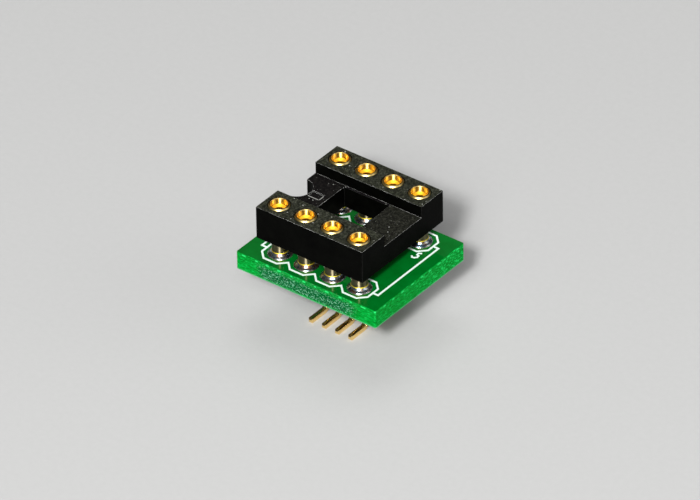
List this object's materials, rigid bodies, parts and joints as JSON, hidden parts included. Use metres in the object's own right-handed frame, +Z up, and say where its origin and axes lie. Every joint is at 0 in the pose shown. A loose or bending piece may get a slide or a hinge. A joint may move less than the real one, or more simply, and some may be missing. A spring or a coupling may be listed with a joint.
{
  "type": "smd to dip adapter board",
  "caption": "Small green adapter board with a turned-contact dual in-line socket on top and bent surface-mount feet on a finer pitch below.",
  "frame": {"origin": "on the surface under the feet, below the middle of the board", "axes": "+X along the rows of contacts, away from the index notch; +Z up out of the contacts' mouths; +Y across the rows, from contacts one to four towards five to eight"},
  "size_m": [0.0134, 0.0112, 0.011],
  "materials": {
    "solder_mask": "glossy green lacquer on glass-fibre board, with bright translucent cut edges",
    "masked_copper": "copper under glossy green lacquer",
    "tinned_copper": "bright tinned copper",
    "printed_ink": "white printed ink",
    "moulding": "black glass-filled moulding, satin, slightly dusty",
    "gold_contact": "gold plating over turned brass",
    "gold_clip": "gold plating over drawn spring sheet",
    "gold_pin": "gold plating over square wire",
    "solder": "bright smooth solder"
  },
  "bodies": {
    "root": {"board": "solder_mask", "socket_body": "moulding", "foot_carrier": "moulding", "bottom_traces": "masked_copper", "legend": "printed_ink", "contact_1": "gold_contact", "foot_pin_1": "gold_pin", "contact_2": "gold_contact", "foot_pin_2": "gold_pin", "contact_3": "gold_contact", "foot_pin_3": "gold_pin", "contact_4": "gold_contact", "foot_pin_4": "gold_pin", "contact_5": "gold_contact", "foot_pin_5": "gold_pin", "contact_6": "gold_contact", "foot_pin_6": "gold_pin", "contact_7": "gold_contact", "foot_pin_7": "gold_pin", "contact_8": "gold_contact", "foot_pin_8": "gold_pin"}
  },
  "joints": []
}
